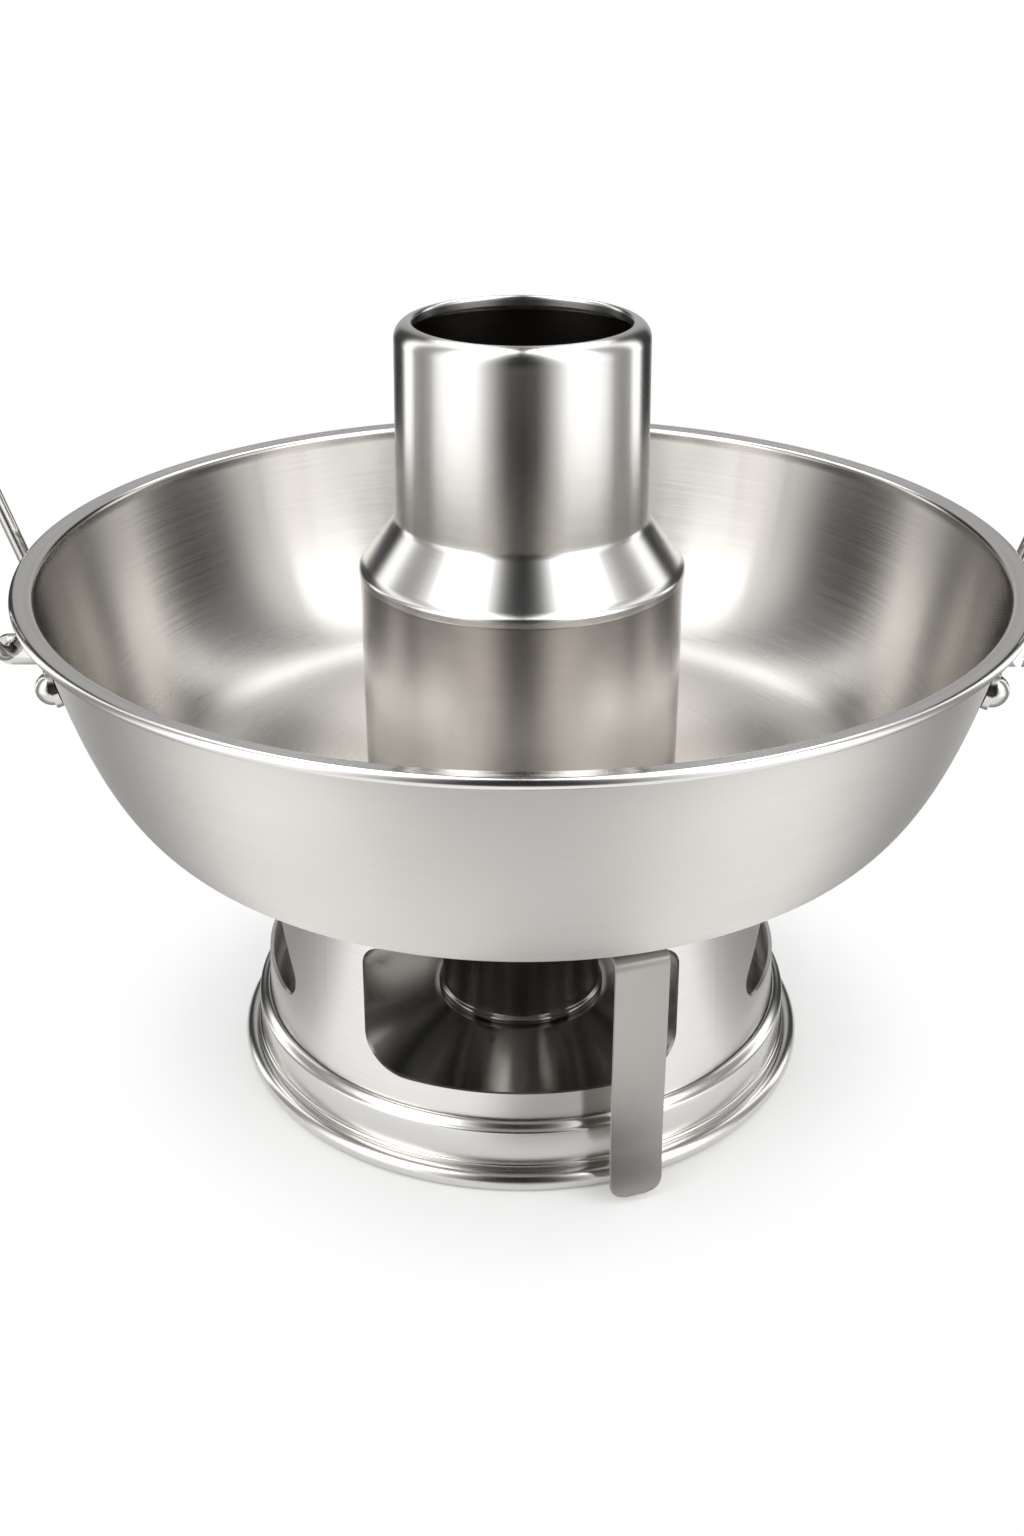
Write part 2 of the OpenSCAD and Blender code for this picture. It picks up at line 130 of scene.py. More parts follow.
def grid_faces(rows, cols, close_rows=False, close_cols=False):
    """Quads (i, j), (i+1, j), (i+1, j+1), (i, j+1) over a grid numbered row by row."""
    i, j = np.meshgrid(np.arange(rows - (not close_rows)), np.arange(cols - (not close_cols)),
                       indexing="ij")
    i, j = i.ravel(), j.ravel()
    i2, j2 = (i + 1) % rows, (j + 1) % cols
    return np.column_stack([i * cols + j, i2 * cols + j, i2 * cols + j2, i * cols + j2])


def mesh_object(name, verts, faces, sharp=35):
    """A mesh object at the origin from arrays in millimetres; edges past the sharp angle stay crisp."""
    mesh = bpy.data.meshes.new(name)
    verts = np.asarray(verts, float) * MM
    mesh.from_pydata(verts.tolist(), [], [list(f) for f in faces])
    mesh.validate()
    mesh.shade_smooth()
    mesh.set_sharp_from_angle(angle=math.radians(sharp))
    piece = bpy.data.objects.new(name, mesh)
    bpy.context.scene.collection.objects.link(piece)
    return piece


def weld(piece, distance=0.00001):
    """Merges the piece's doubled vertices and turns its faces outwards."""
    work = bmesh.new()
    work.from_mesh(piece.data)
    bmesh.ops.remove_doubles(work, verts=work.verts, dist=distance)
    bmesh.ops.recalc_face_normals(work, faces=work.faces)
    work.to_mesh(piece.data)
    work.free()
    return piece


def revolve(name, outline, around=AROUND, sharp=35):
    """A closed outline (r, z), anticlockwise, carried round Z: x = r cos a, y = r sin a."""
    outline = np.asarray(outline, float)
    a = np.linspace(0, 2 * np.pi, around, endpoint=False)
    r, z = outline[:, 0], outline[:, 1]
    verts = np.stack([np.outer(r, np.cos(a)), np.outer(r, np.sin(a)),
                      np.outer(z, np.ones(around))], axis=-1).reshape(-1, 3)
    faces = grid_faces(len(outline), around, close_rows=True, close_cols=True)
    return weld(mesh_object(name, verts, faces[:, ::-1], sharp))


def sweep(name, path, section, out, scale, sharp):
    """A closed cross-section (p, q) carried along a path that lies in a plane: each point is
    path + p * side + q * out, where side lies in the plane and out is the plane's normal. Row i of
    scale stretches p and q at point i of the path."""
    path = np.asarray(path, float)
    out = np.asarray(out, float)
    tangent = np.gradient(path, axis=0)
    tangent /= np.linalg.norm(tangent, axis=1)[:, None]
    side = np.cross(tangent, out)
    p = scale[:, 0, None] * section[None, :, 0]
    q = scale[:, 1, None] * section[None, :, 1]
    verts = path[:, None] + p[..., None] * side[:, None] + q[..., None] * out
    rows, cols = verts.shape[:2]
    verts = verts.reshape(-1, 3)
    faces = [tuple(f) for f in grid_faces(rows, cols, close_cols=True)]
    verts = np.vstack([verts, path[0], path[-1]])
    ring = np.arange(cols)
    nxt = np.roll(ring, -1)
    start, end, last = rows * cols, rows * cols + 1, (rows - 1) * cols
    faces += [(start, int(b), int(c)) for b, c in zip(ring, nxt)]
    faces += [(end, int(last + c), int(last + b)) for b, c in zip(ring, nxt)]
    return weld(mesh_object(name, verts, faces, sharp))


def face_ways(piece):
    """Each face's height, distance from the axis, and its normal's part upwards and outwards."""
    count = len(piece.data.polygons)
    centre, normal = np.empty(3 * count), np.empty(3 * count)
    piece.data.polygons.foreach_get("center", centre)
    piece.data.polygons.foreach_get("normal", normal)
    centre, normal = centre.reshape(-1, 3), normal.reshape(-1, 3)
    away = np.hypot(centre[:, 0], centre[:, 1])
    return centre[:, 2], away, normal[:, 2], (centre[:, :2] * normal[:, :2]).sum(1) / away


# ---------------------------------------------------------------- materials

def linear(code):
    """A hex sRGB colour as linear red, green and blue."""
    parts = [int(code[k:k + 2], 16) / 255 for k in (1, 3, 5)]
    return [c / 12.92 if c <= 0.04045 else ((c + 0.055) / 1.055) ** 2.4 for c in parts]


def add(tree, kind, links=(), **settings):
    """Adds a node, sets its properties and inputs by name or index, and links (source, input)
    pairs, where a source is an output, or a node that stands for its first output."""
    made = tree.nodes.new(kind)
    for key, value in settings.items():
        if hasattr(made, key):
            setattr(made, key, value)
        else:
            name = int(key[1:]) if key[:1] == "i" and key[1:].isdigit() else key.replace("_", " ")
            made.inputs[name].default_value = value
    for source, target in links:
        tree.links.new(getattr(source, "outputs", [source])[0], made.inputs[target])
    return made


HAIRLINE = 60        # how many times longer than wide a hairline is on straight brushed steel
ROUND_SCALE = 3.0    # how fast the hairlines change on their way round the axis
LINE_TONE = 0.93     # the hairlines' darkest tone
PATCH_W = 35.7       # width of the soft patches, in mm
PATCH_TONE = 0.97    # the patches' darkest tone
RELIEF = 0.4         # depth of the hairlines' relief at full strength, in mm


def brushed_steel(name, colour, roughness, grain_mm, lines, streaks, bump, anisotropy, soft=None):
    """Brushed stainless sheet. Fine lines run round the axis or up and down; they change the
    roughness and the relief, and soft patches a few centimetres wide change the tone. Where soft
    is (low, high, extra), the roughness grows by extra from height high down to height low."""
    material = bpy.data.materials.new(name)
    material.use_nodes = True
    tree = material.node_tree
    shader = tree.nodes["Principled BSDF"]
    shader.inputs["Metallic"].default_value = 1.0
    shader.inputs["Anisotropic"].default_value = anisotropy
    place = add(tree, "ShaderNodeTexCoord").outputs["Object"]
    x, y, z = add(tree, "ShaderNodeSeparateXYZ", [(place, 0)]).outputs
    fine = 1.0 / (grain_mm * MM)
    if lines == "round":
        flat = add(tree, "ShaderNodeCombineXYZ", [(x, 0), (y, 1)])
        away = add(tree, "ShaderNodeVectorMath", [(flat, 0)], operation="LENGTH").outputs["Value"]
        unit = add(tree, "ShaderNodeVectorMath", [(flat, 0)], operation="NORMALIZE")
        wide = add(tree, "ShaderNodeVectorMath", [(unit, 0)], operation="SCALE", Scale=ROUND_SCALE)
        slant = add(tree, "ShaderNodeMath", [(z, 0), (away, 1)], operation="SUBTRACT")
        tall = add(tree, "ShaderNodeMath", [(slant, 0)], operation="MULTIPLY", i1=fine)
        up = add(tree, "ShaderNodeCombineXYZ", [(tall, 2)])
        vector = add(tree, "ShaderNodeVectorMath", [(wide, 0), (up, 1)], operation="ADD")
    else:
        vector = add(tree, "ShaderNodeVectorMath", [(place, 0)], operation="MULTIPLY",
                     i1=(fine, fine, fine / HAIRLINE))
    grain = add(tree, "ShaderNodeTexNoise", [(vector, "Vector")], Scale=1.0, Detail=3.0,
                Roughness=0.6)
    patches = add(tree, "ShaderNodeTexNoise", [(place, "Vector")], Scale=1.0 / (PATCH_W * MM),
                  Detail=2.0)
    rough = add(tree, "ShaderNodeMapRange", [(grain, "Value")], From_Min=0.25, From_Max=0.75,
                To_Min=roughness - streaks, To_Max=roughness + streaks)
    if soft:
        low, high, extra = soft
        more = add(tree, "ShaderNodeMapRange", [(z, "Value")], From_Min=low * MM,
                   From_Max=high * MM, To_Min=extra, To_Max=0.0, interpolation_type="SMOOTHSTEP")
        rough = add(tree, "ShaderNodeMath", [(rough, 0), (more, 1)], operation="ADD")
    patch_tone = add(tree, "ShaderNodeMapRange", [(patches, "Value")], From_Min=0.3, From_Max=0.7,
                     To_Min=PATCH_TONE, To_Max=1.0)
    line_tone = add(tree, "ShaderNodeMapRange", [(grain, "Value")], From_Min=0.25, From_Max=0.75,
                    To_Min=LINE_TONE, To_Max=1.0)
    tone = add(tree, "ShaderNodeMath", [(patch_tone, 0), (line_tone, 1)], operation="MULTIPLY")
    base = add(tree, "ShaderNodeVectorMath", [(tone, 1)], operation="MULTIPLY", i0=tuple(colour))
    relief = add(tree, "ShaderNodeBump", [(grain, "Height")], Strength=bump, Distance=RELIEF * MM)
    if anisotropy:
        back = add(tree, "ShaderNodeMath", [(y, 0)], operation="MULTIPLY", i1=-1.0)
        turn = add(tree, "ShaderNodeCombineXYZ", [(back, 0), (x, 1)])
        way = add(tree, "ShaderNodeVectorTransform", [(turn, 0)], vector_type="VECTOR",
                  convert_from="OBJECT", convert_to="WORLD")
        tree.links.new(way.outputs[0], shader.inputs["Tangent"])
        shader.inputs["Anisotropic Rotation"].default_value = 0.25 if lines == "round" else 0.0
    for source, key in ((rough, "Roughness"), (base, "Base Color"), (relief, "Normal")):
        tree.links.new(source.outputs[0], shader.inputs[key])
    return material


# Each finish as (its colour's name, roughness, grain in mm, way of its hairlines, how much they
# change the roughness, their relief, anisotropy), and for one also where it grows softer. A real
# hairline is under 0.1 mm wide, too fine to show, so each grain is drawn coarser than that.
FINISHES = {
    # satin spun 304 sheet: hairlines round the bowl smear every reflection up and down
    "Satin spun stainless": ("satin", 0.46, 0.35, "round", 0.03, 0.02, 0.8),
    # bright spun 304 sheet: clear light and dark bars with soft edges
    "Bright spun stainless": ("bright", 0.21, 0.25, "round", 0.015, 0.012, 0.97),
    # the fire tube: the same spun sheet, painted darker and a little browner as shade for its place in
    # the bowl's hollow
    "Warm spun stainless": ("warm", 0.18, 0.25, "round", 0.02, 0.012, 0.97),
    # the bowl's inside: painted shade, a deeper tone than the same sheet outside, so that twice and
    # thrice mirrored light falls off; its bottom has a coarser, softer grain than its side
    "Deep spun stainless": ("deep", 0.17, 0.25, "round", 0.03, 0.015, 0.97,
                            (BOWL_LOW[2] + 3, BOWL_LOW[2] + 42, 0.12)),
    # close spun and rolled edges: crisp light and dark lines along beads, grooves and seams
    "Crisp spun stainless": ("crisp", 0.17, 0.25, "round", 0.015, 0.01, 0.85),
    # drawn and buffed sheet inside the stand, clear as a mirror along the hairlines; its darker tone is
    # painted shade for the stand's dim inside
    "Buffed drawn stainless": ("buffed", 0.18, 0.3, "round", 0.02, 0.01, 0.8),
    # strip steel brushed along its length: the hairlines run up and down
    "Long grain brushed stainless": ("long_grain", 0.45, 0.3, "up", 0.06, 0.04, 0.9),
    # tumbled and polished rod and rivets: sharp reflections, hardly any grain
    "Polished stainless fittings": ("polished", 0.12, 0.6, "up", 0.02, 0.005, 0.0),
    # the flue's inside, dark brown-grey as painted shade: it swallows the light below the mouth
    "Flue browned stainless": ("flue", 0.3, 0.4, "round", 0.03, 0.02, 0.5),
    # heat-dulled bars: dark, rough, and no clear reflection
    "Heat dulled stainless": ("dulled", 0.45, 0.6, "up", 0.08, 0.05, 0.0),
}


def finish(key):
    """The named steel finish, made the first time it is asked for."""
    if key not in bpy.data.materials:
        colour, *look = FINISHES[key]
        brushed_steel(key, getattr(values("steel"), colour), *look)
    return bpy.data.materials[key]


def paint(piece, keys, index):
    """Adds finishes to a dressed piece and gives each face the material of its number."""
    for key in keys:
        piece.data.materials.append(finish(key))
    piece.data.polygons.foreach_set("material_index", index.astype(np.int32))


def dress(piece, key, body, node):
    """Gives a finished piece its finish, its CAD body and the node it stands for."""
    piece.data.materials.clear()
    piece.data.materials.append(finish(key))
    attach(piece, body)
    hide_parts(node)
    return piece


# ---------------------------------------------------------------- the user's values

def a_number(name, default, description, **settings):
    """A number that the user can change in the panel."""
    return bpy.props.FloatProperty(name=name, default=default, description=description, **settings)


def a_length(name, millimetres, description):
    """A length that the user can change in the panel, in the scene's own unit."""
    return a_number(name, millimetres * MM, description, unit="LENGTH")


def an_angle(name, degrees, description):
    """An angle that the user can change in the panel."""
    return a_number(name, math.radians(degrees), description, subtype="ANGLE")


def a_colour(name, code, description):
    """A colour, from its hex code, that the user can change in the panel."""
    return bpy.props.FloatVectorProperty(name=name, default=linear(code), description=description,
                                         subtype="COLOR", min=0.0, max=1.0)


class SteelColours(bpy.types.PropertyGroup):
    """The steel's colour in each of its finishes, with painted shade darkening the warm, deep, buffed
    and flue colours
    """
    satin: a_colour("Satin", "#D6D3CF", "The bowl's outside")
    bright: a_colour("Bright", "#E2E0DD", "The chimney, the stand's wall, and the burner's top and ring")
    # painted shade: the fire tube is darker and browner than the bright sheet
    warm: a_colour("Warm", "#CDC9C5", "The fire tube")
    # painted shade: the bowl's inside is darker than the same sheet's outside
    deep: a_colour("Deep", "#BFBCB8", "The bowl's inside")
    crisp: a_colour("Crisp", "#DEDCD9", "The bowl's lip and the skirt")
    # darker in part as painted shade, for the parts inside the stand
    buffed: a_colour("Buffed", "#B4B1AD", "The burner's cup and the pan")
    long_grain: a_colour("Long grain", "#B7B4B0", "The regulator's strap")
    polished: a_colour("Polished", "#D0CECB", "The handles, the ears and the rivets")
    # painted shade: the chimney's dark inside
    flue: a_colour("Flue", "#5B5550", "The chimney's inside")
    dulled: a_colour("Heat dulled", "#77726C", "The grate's bars")


class BowlSizes(bpy.types.PropertyGroup):
    """Sizes of the bowl that the frame's boxes don't give"""
    flat_r: a_length("Flat bottom", 104.0, "Radius of the bowl's flat bottom")
    fullness: a_number("Fullness", 0.7, "Exponent of the side's curve; 1 is an ellipse")
    start: an_angle("Side start", 50.0, "Where the side meets the lip on its oval")
    sheet: a_length("Sheet", 1.2, "Thickness of the bowl's sheet")
    lip_w: a_length("Lip width", 6.0, "Width of the flat ring of the lip")
    bead_r: a_length("Lip bead", 1.7, "Radius of the bead at the lip's edge")
    hole_r: a_length("Tube hole", 52.1, "Radius of the hole for the fire tube")


class ChimneySizes(bpy.types.PropertyGroup):
    """Sizes of the fire tube and the chimney"""
    tube_r: a_length("Tube", 52.0, "Radius of the fire tube")
    sheet: a_length("Sheet", 1.0, "Thickness of the chimney's sheet")
    shoulder_h: a_length("Shoulder height", 18.5, "Height of the sloping shoulder")
    spigot_h: a_length("Spigot", 10.0, "How far the chimney plugs into the tube")
    spigot_gap: a_length("Spigot gap", 0.1, "Gap between the spigot and the tube")
    overhang: a_length("Overhang", 0.4, "How far the chimney's foot stands out past the tube")
    foot_r: a_length("Neck foot", 40.0, "Radius of the neck at its foot")
    mouth_r: a_length("Neck mouth", 39.2, "Radius of the neck at its mouth")
    roll_r: a_length("Mouth roll", 5.2, "Radius of the rolled-in edge")
    ledge_w: a_length("Grate ledge", 4.0, "Width of the ledge that holds the grate")


class StandSizes(bpy.types.PropertyGroup):
    """Sizes of the stand's wall and skirt"""
    top_r: a_length("Wall top", 86.0, "Radius of the wall at its top")
    sheet: a_length("Sheet", 1.2, "Thickness of the stand's sheet")
    flange_w: a_length("Seat flange", 8.0, "Width of the flange under the bowl")
    window_w: a_length("Window width", 99.0, "Width of the front and rear windows")
    low_z: a_length("Window sill", 31.0, "Height of the windows' lower edge")
    high_z: a_length("Window head", 75.0, "Height of the windows' upper edge")
    band_z: a_length("Slot band", 82.0, "Height where the band of wall with the slot begins")
    slot_room: a_length("Slot room", 2.0, "Room all round the strap's arm in its slot")
    slot_corner: a_length("Slot corners", 0.6, "Corner radius of the slot")
    arch_h: a_length("Window arch", 4.5, "Rise of the front and rear windows' heads")
    low_corner: a_length("Sill corners", 13.0, "Radius of the lower corners")
    high_corner: a_length("Head corners", 6.0, "Radius of the upper corners")
    side_low_z: a_length("Side sill height", 36.5, "Height of a side window's lower edge")
    side_low_w: a_length("Side sill", 110.0, "Width of a side window's lower edge")
    side_high_w: a_length("Side head", 56.0, "Width of a side window's upper edge")
    side_corner: a_length("Side corners", 8.0, "Corner radius of a side window")
    band_r: a_length("Skirt band", 93.4, "Radius of the skirt's upright band")
    bead_r: a_length("Foot bead", 3.2, "Radius of the bead that the pot stands on")
    foot_flat: a_length("Foot flat", 0.3, "How far the bead is flattened")
    seam_r: a_length("Seam bead", 0.9, "Radius of the thin bead above the foot")
    shoulder_h: a_length("Skirt shoulder", 2.6, "Height of the skirt's sloping shoulder")


class BurnerSizes(bpy.types.PropertyGroup):
    """Sizes of the burner's cup and the pan under it"""
    sheet: a_length("Sheet", 1.0, "Thickness of the burner's sheet")
    bead_r: a_length("Foot bead", 1.5, "Radius of the bead round the cup's foot")
    pan_top_r: a_length("Pan top", 31.0, "Radius of the pan's raised middle")
    pan_slope_w: a_length("Pan slope", 35.0, "Width of the pan's sloping ring")


class FittingSizes(bpy.types.PropertyGroup):
    """Sizes of the handles and the regulator's strap"""
    rod_r: a_length("Rod", 2.4, "Radius of the handles' rod")
    pivot_x: a_length("Pivot", 163.5, "Distance of the handles' pivots")
    pivot_z: a_length("Pivot height", 151.0, "Height of the handles' pivots")
    leg_y: a_length("Leg", 28.0, "Half the distance between the legs")
    bail_h: a_length("Height", 54.0, "From the pivot to the grip's middle")
    corner: a_length("Corner", 12.0, "Bend radius of the upper corners")
    lean: an_angle("Lean", 18.0, "Lean outwards from upright")
    eye_y: a_length("Eye", 16.0, "Distance of the ears' eyes")
    ear_t: a_length("Ear sheet", 2.0, "Thickness of the ears")
    gap: a_length("Gap", 0.3, "Clearance beside the ears")
    strap_w: a_length("Strap width", 17.3, "Width of the regulator's strap")
    strap_t: a_length("Strap sheet", 1.5, "Thickness of the strap")
    strap_turn: an_angle("Strap turn", 19.5, "Turn of the strap from the front")
    strap_swing: an_angle("Strap swing", 39.0, "Turn of the strap from end to end")
    strap_root: a_length("Strap root", 14.5, "Distance of the arm's inner end")
    strap_reach: a_length("Strap reach", 108.0, "Distance of the strap's outer face")
    strap_bend: a_length("Strap bend", 4.0, "Outside radius of the strap's bend")
    strap_corner: a_length("Strap corner", 5.0, "Radius of the strap's lower corners")
    tip_h: a_length("Tip", 21.0, "Length of the flared finger tip")
    tip_angle: an_angle("Tip flare", 3.0, "Angle of the finger tip")


class StudioValues(bpy.types.PropertyGroup):
    """Where the camera that fits the photograph stands"""
    camera_back: a_length("Camera distance", 539.0, "From the pot's axis to the camera")
    camera_up: a_length("Camera height", 372.4, "Height of the camera above the table")
    camera_down: an_angle("Camera tilt", 26.75, "Tilt of the camera below level")
    focal_px: a_number("Focal length", 1772.7, "Focal length in pixels of the photograph")
    axis_px: a_number("Axis column", 522.5, "Column of the pot's axis in the photograph")


GROUPS = {"bowl": BowlSizes, "chimney": ChimneySizes, "stand": StandSizes, "burner": BurnerSizes,
          "fittings": FittingSizes, "steel": SteelColours, "studio": StudioValues}


def values(group):
    """The values that the user sees for one group."""
    return getattr(bpy.context.scene, "hot_pot_" + group)


def sizes(group):
    """One group's values as plain numbers, with its lengths in millimetres."""
    shown = values(group)
    return SimpleNamespace(**{
        key: getattr(shown, key) / (MM if shown.bl_rna.properties[key].unit == "LENGTH" else 1)
        for key in GROUPS[group].__annotations__})


# ---------------------------------------------------------------- operators

class HOTPOT_OT_bowl(bpy.types.Operator):
    """Makes the spun bowl with its flat, beaded lip"""
    bl_idname = "hot_pot.bowl"
    bl_label = "Bowl"

    def execute(self, context):
        v = sizes("bowl")
        top_z, floor_z = BOWL_HIGH[2], BOWL_LOW[2]
        rim_r = BOWL_HIGH[0]
        side_r, side_z = rim_r - v.lip_w, top_z - 2 * v.bead_r
        drop = side_z - floor_z
        a = np.linspace(v.start, np.pi / 2, 500)

        def side(t):
            """An oval from angle a = start to a right angle, t inside the outer face:
            r = flat + (side - flat) (cos a / cos start)^fullness, and z falls with
            (sin a - sin start) / (1 - sin start)."""
            near = (np.cos(a).clip(0) / math.cos(v.start)) ** v.fullness
            r = v.flat_r + (side_r - t - v.flat_r) * near
            down = (np.sin(a) - math.sin(v.start)) / (1 - math.sin(v.start))
            return even(np.column_stack([r, side_z - (drop - t) * down]), 1.6)

        neck = 0.9
        bead = (rim_r - v.bead_r, top_z - v.bead_r)
        under_z = top_z - v.sheet
        inner_r = side_r - v.sheet
        outline = np.vstack([
            line((v.hole_r, floor_z), (v.flat_r - 2, floor_z), 12),
            side(0)[::-1][:-1],
            arc((side_r + neck, under_z - neck), neck, 180, 90, 6),
            arc(bead, v.bead_r, 168, 450, 30),
            line((bead[0] - 1.2, top_z - 0.25), (inner_r + 2.6, top_z - 0.55), 4),
            arc((inner_r + 1.6, top_z - 0.55 - 1.6), 1.6, 90, 180, 7),
            side(v.sheet),
            line((v.flat_r - 2, floor_z + v.sheet), (v.hole_r, floor_z + v.sheet), 12),
        ])
        piece = revolve("bowl_spun", outline, 360, 50)
        dress(piece, "Satin spun stainless", "pot", "bowl")
        z, away, upwards, outwards = face_ways(piece)
        inside = (upwards - outwards > 0.2) & (upwards > -0.5)
        lip = (z > (side_z - 1.5) * MM) & (away > (side_r - 0.6) * MM)
        # the inside gets the finish darkened as painted shade, and the lip the crisp one
        paint(piece, ["Deep spun stainless", "Crisp spun stainless"], np.where(lip, 2, inside))
        return {"FINISHED"}


def fire_tube(v):
    """Makes the straight tube, with the ledge for the grate and the flange under the bowl."""
    t = v.sheet
    tube_r = v.tube_r
    floor_z, top_z = TUBE_LOW[2] + t, TUBE_HIGH[2]
    flange_r = TUBE_HIGH[0]
    tube = np.vstack([
        line((tube_r - t - v.ledge_w, floor_z), (tube_r - t - v.ledge_w, floor_z - t)),
        line((flange_r, floor_z - t), (flange_r, floor_z)),
        line((tube_r, floor_z), (tube_r, top_z - 0.3), 40),
        arc((tube_r - t / 2, top_z - 0.5), t / 2, 0, 180, 6),
        line((tube_r - t, top_z - 0.6), (tube_r - t, floor_z), 20),
    ])
    piece = revolve("fire_tube_spun", tube)
    # the fire tube's finish is darkened as painted shade
    dress(piece, "Warm spun stainless", "pot", "fire_tube")


def stepped_chimney(v):
    """Makes the chimney with its spigot, its sloping shoulder and its rolled mouth."""
    t = v.sheet
    mouth_z = CHIMNEY_HIGH[2]
    foot_z = TUBE_HIGH[2]
    shoulder_z = foot_z + v.shoulder_h
    spigot_r = v.tube_r - t - v.spigot_gap
    lower_r = v.tube_r + v.overhang
    roll = (v.mouth_r - v.roll_r, mouth_z - v.roll_r)
    outer = np.vstack([
        line((spigot_r, foot_z - v.spigot_h), (spigot_r, foot_z), 3),
        line((lower_r - 0.1, foot_z), (lower_r, foot_z + 1.2), 3),
        arc((lower_r - 1.6, foot_z + 1.7), 1.6, 0, 52, 8),
        line((lower_r - 1.4, foot_z + 3.4), (v.foot_r + 0.9, shoulder_z - 1.4), 14),
        line((v.foot_r + 0.1, shoulder_z - 0.3), (v.foot_r - 0.02, shoulder_z + 1.2), 3),
        line((v.foot_r - 0.03, shoulder_z + 2), (v.mouth_r, roll[1] - 0.2), 40),
        arc(roll, v.roll_r, 2, 88, 16),
        arc((roll[0] + 0.5, mouth_z - t), t, 100, 180, 6),
    ])
    inner = np.vstack([
        line((roll[0] - t / 2, mouth_z - 1.4), (roll[0] - t / 2, roll[1] + 2.2), 3),
        line((roll[0] + t / 2, roll[1] + 2.2), (roll[0] + t / 2, mouth_z - t - 0.2), 3),
        arc(roll, v.roll_r - t, 80, 0, 10),
        line((v.foot_r - t, shoulder_z - 0.5), (spigot_r - t, foot_z + 1), 10),
        line((spigot_r - t, foot_z), (spigot_r - t, foot_z - v.spigot_h), 3),
    ])
    piece = revolve("chimney_spun", np.vstack([outer, inner]), 320, 40)
    dress(piece, "Bright spun stainless", "pot", "chimney")
    # the flue's inside below the mouth gets the finish of painted shade
    z, _, _, outwards = face_ways(piece)
    paint(piece, ["Flue browned stainless"], (outwards < 0) & (z < (mouth_z - v.roll_r) * MM))


class HOTPOT_OT_chimney(bpy.types.Operator):
    """Makes the fire tube and the stepped chimney with its rolled mouth"""
    bl_idname = "hot_pot.chimney"
    bl_label = "Fire tube and chimney"

    def execute(self, context):
        v = sizes("chimney")
        fire_tube(v)
        stepped_chimney(v)
        return {"FINISHED"}


def wall_radius(v, z):
    """The outer radius of the stand's cone at height z: straight from the foot's to the top's."""
    top_z, foot_z = WALL_HIGH[2], WALL_LOW[2]
    return WALL_HIGH[0] + (v.top_r - WALL_HIGH[0]) * (z - foot_z) / (top_z - foot_z)


def wall_panel(v, turn, low, high, outline, sides):
    """One stretch of the stand's cone with a window in it, as rows from the window's edge out to
    the stretch's border, on the outer face, round the cut edge and on the inner face. A point
    (x, z) of the window's outline goes to angle asin(x / radius(z)) and height z."""
    window = even(np.vstack([outline, outline[:1]]), 1.5)[:-1]
    turned = np.column_stack([np.arcsin(window[:, 0] / wall_radius(v, window[:, 1])), window[:, 1]])
    middle = (low + high) / 2
    left, right = sides
    d = turned - [0, middle]
    reach_x = np.where(d[:, 0] > 0, right, -left)
    reach = np.maximum(np.abs(d[:, 0]) / reach_x, np.abs(d[:, 1]) / ((high - low) / 2))
    border = [0, middle] + d / reach[:, None]
    for cx in (left, right):
        for cz in (low, high):
            gap = np.hypot((border[:, 0] - cx) * v.top_r, border[:, 1] - cz)
            border[np.argmin(gap)] = (cx, cz)
    step = np.concatenate([[0, 0.03, 0.08], np.linspace(0.16, 1, 9)])
    face = turned[None] + (border - turned)[None] * step[:, None, None]
    t = v.sheet
    rows = [(f, 0.0) for f in face[::-1]]
    bow = np.radians(np.linspace(0, 180, 7))[1:-1]
    rows += [(turned, -t / 2 * (1 - math.cos(b))) for b in bow]
    rows += [(f, -t) for f in face]
    grid = []
    for place, depth in rows:
        r = wall_radius(v, place[:, 1]) + depth
        angle = place[:, 0] + math.radians(turn)
        grid.append(np.column_stack([r * np.sin(angle), -r * np.cos(angle), place[:, 1]]))
    grid = np.array(grid)
    return grid.reshape(-1, 3), grid_faces(len(rows), len(window), close_cols=True)


